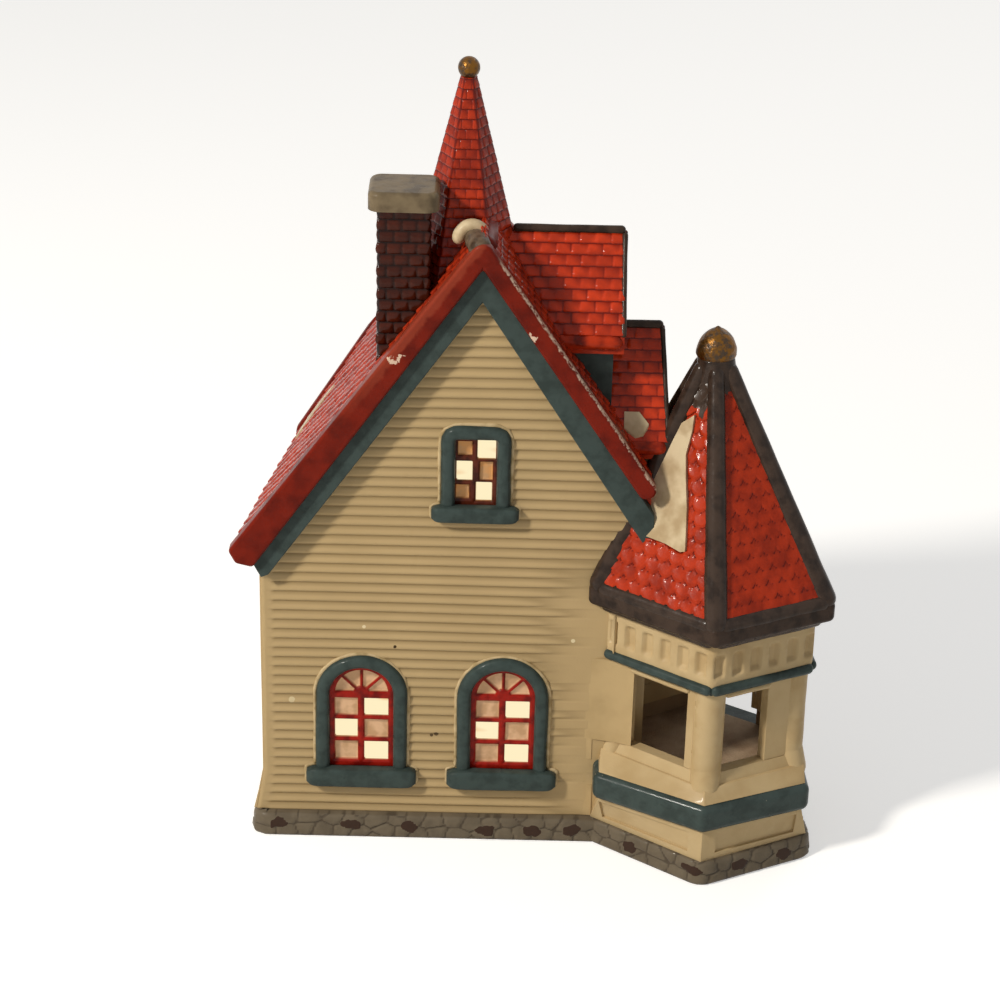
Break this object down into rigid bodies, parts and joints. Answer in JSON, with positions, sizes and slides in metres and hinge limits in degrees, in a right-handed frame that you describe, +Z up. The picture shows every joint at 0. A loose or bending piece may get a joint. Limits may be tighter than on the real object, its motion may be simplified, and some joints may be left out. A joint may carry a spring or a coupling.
{
  "type": "ceramic village house",
  "caption": "Lighted ceramic village house with a steep front gable, spire, chimney, side turret and a clip-in lamp at the back.",
  "frame": {"origin": "middle of the overall footprint, on the ground", "axes": "+Z up, -Y towards the front gable with its three windows, +X towards the turret"},
  "size_m": [0.1638, 0.1042, 0.2206],
  "materials": {
    "cream_glaze": "gloss",
    "roof_red": "gloss",
    "rim_red": "gloss",
    "dark_teal": "gloss",
    "brown_glaze": "gloss",
    "brick_brown": "gloss",
    "stone_grey": "satin",
    "snow_glaze": "gloss",
    "gilding": "gloss",
    "sash_red": "gloss",
    "sash_brown": "gloss",
    "bisque": "matte",
    "window_film": "translucent",
    "socket_plastic": "satin",
    "brass": "polished",
    "spring_steel": "satin",
    "lamp_glass": "clear",
    "filament_metal": "satin"
  },
  "bodies": {
    "house": {"back_wall": "cream_glaze", "chimney_cap": "stone_grey", "chimney_stack": "brick_brown", "dormer_ridge_cap": "brown_glaze", "dormer_roof": "roof_red", "dormer_walls": "dark_teal", "front_rake_rim": "rim_red", "front_rake_trim": "dark_teal", "front_wall": "cream_glaze", "gable_window_casing": "dark_teal", "gable_window_sash": "sash_brown", "house_foundation": "stone_grey", "left_roof_slope": "roof_red", "left_wall": "cream_glaze", "lower_left_window_casing": "dark_teal", "lower_left_window_sash": "sash_red", "lower_right_window_casing": "dark_teal", "lower_right_window_sash": "sash_red", "rear_hip_slope": "roof_red", "rear_rake_rim": "rim_red", "rear_rake_trim": "dark_teal", "ridge_cap": "stone_grey", "right_roof_slope": "roof_red", "right_wall": "cream_glaze", "roof_snow": "snow_glaze", "spire_ball": "gilding", "spire_shell": "roof_red", "spire_snow": "snow_glaze", "turret_band": "dark_teal", "turret_base_wall": "cream_glaze", "turret_eave_board": "brown_glaze", "turret_finial": "gilding", "turret_floor": "bisque", "turret_foundation": "stone_grey", "turret_frieze": "cream_glaze", "turret_ribs": "brown_glaze", "turret_roof": "roof_red", "turret_sill": "cream_glaze", "turret_snow": "snow_glaze", "turret_string_course": "dark_teal", "turret_wall": "cream_glaze", "wall_cove": "cream_glaze", "window_films": "window_film", "wing_gable_wall": "dark_teal", "wing_ridge_cap": "brown_glaze", "wing_roof": "roof_red", "wing_snow": "snow_glaze"},
    "light_kit": {"lamp_flange": "socket_plastic", "lamp_socket_body": "socket_plastic", "lamp_socket_contact": "brass", "lamp_socket_liner": "brass"},
    "bulb": {"bulb_base": "brass", "bulb_filament": "filament_metal", "bulb_glass": "lamp_glass"},
    "clip_left": {"lamp_clip_left": "spring_steel"},
    "clip_right": {"lamp_clip_right": "spring_steel"}
  },
  "joints": [
    {"name": "lamp_pull_out", "type": "slide", "parent": "house", "child": "light_kit", "axis": [0, 1, 0], "range_m": [0, 0.06]},
    {"name": "bulb_unscrew", "type": "hinge", "parent": "light_kit", "child": "bulb", "pos_m": [-0.0207, 0.0211, 0.032], "axis": [0, -1, 0], "range_deg": [0, 1080]},
    {"name": "clip_left_flex", "type": "hinge", "parent": "light_kit", "child": "clip_left", "pos_m": [-0.0307, 0.0206, 0.032], "axis": [0, 0, -1], "range_deg": [0, 12], "stiffness_Nm_per_rad": 0.02},
    {"name": "clip_right_flex", "type": "hinge", "parent": "light_kit", "child": "clip_right", "pos_m": [-0.0107, 0.0206, 0.032], "axis": [0, 0, 1], "range_deg": [0, 12], "stiffness_Nm_per_rad": 0.02}
  ]
}
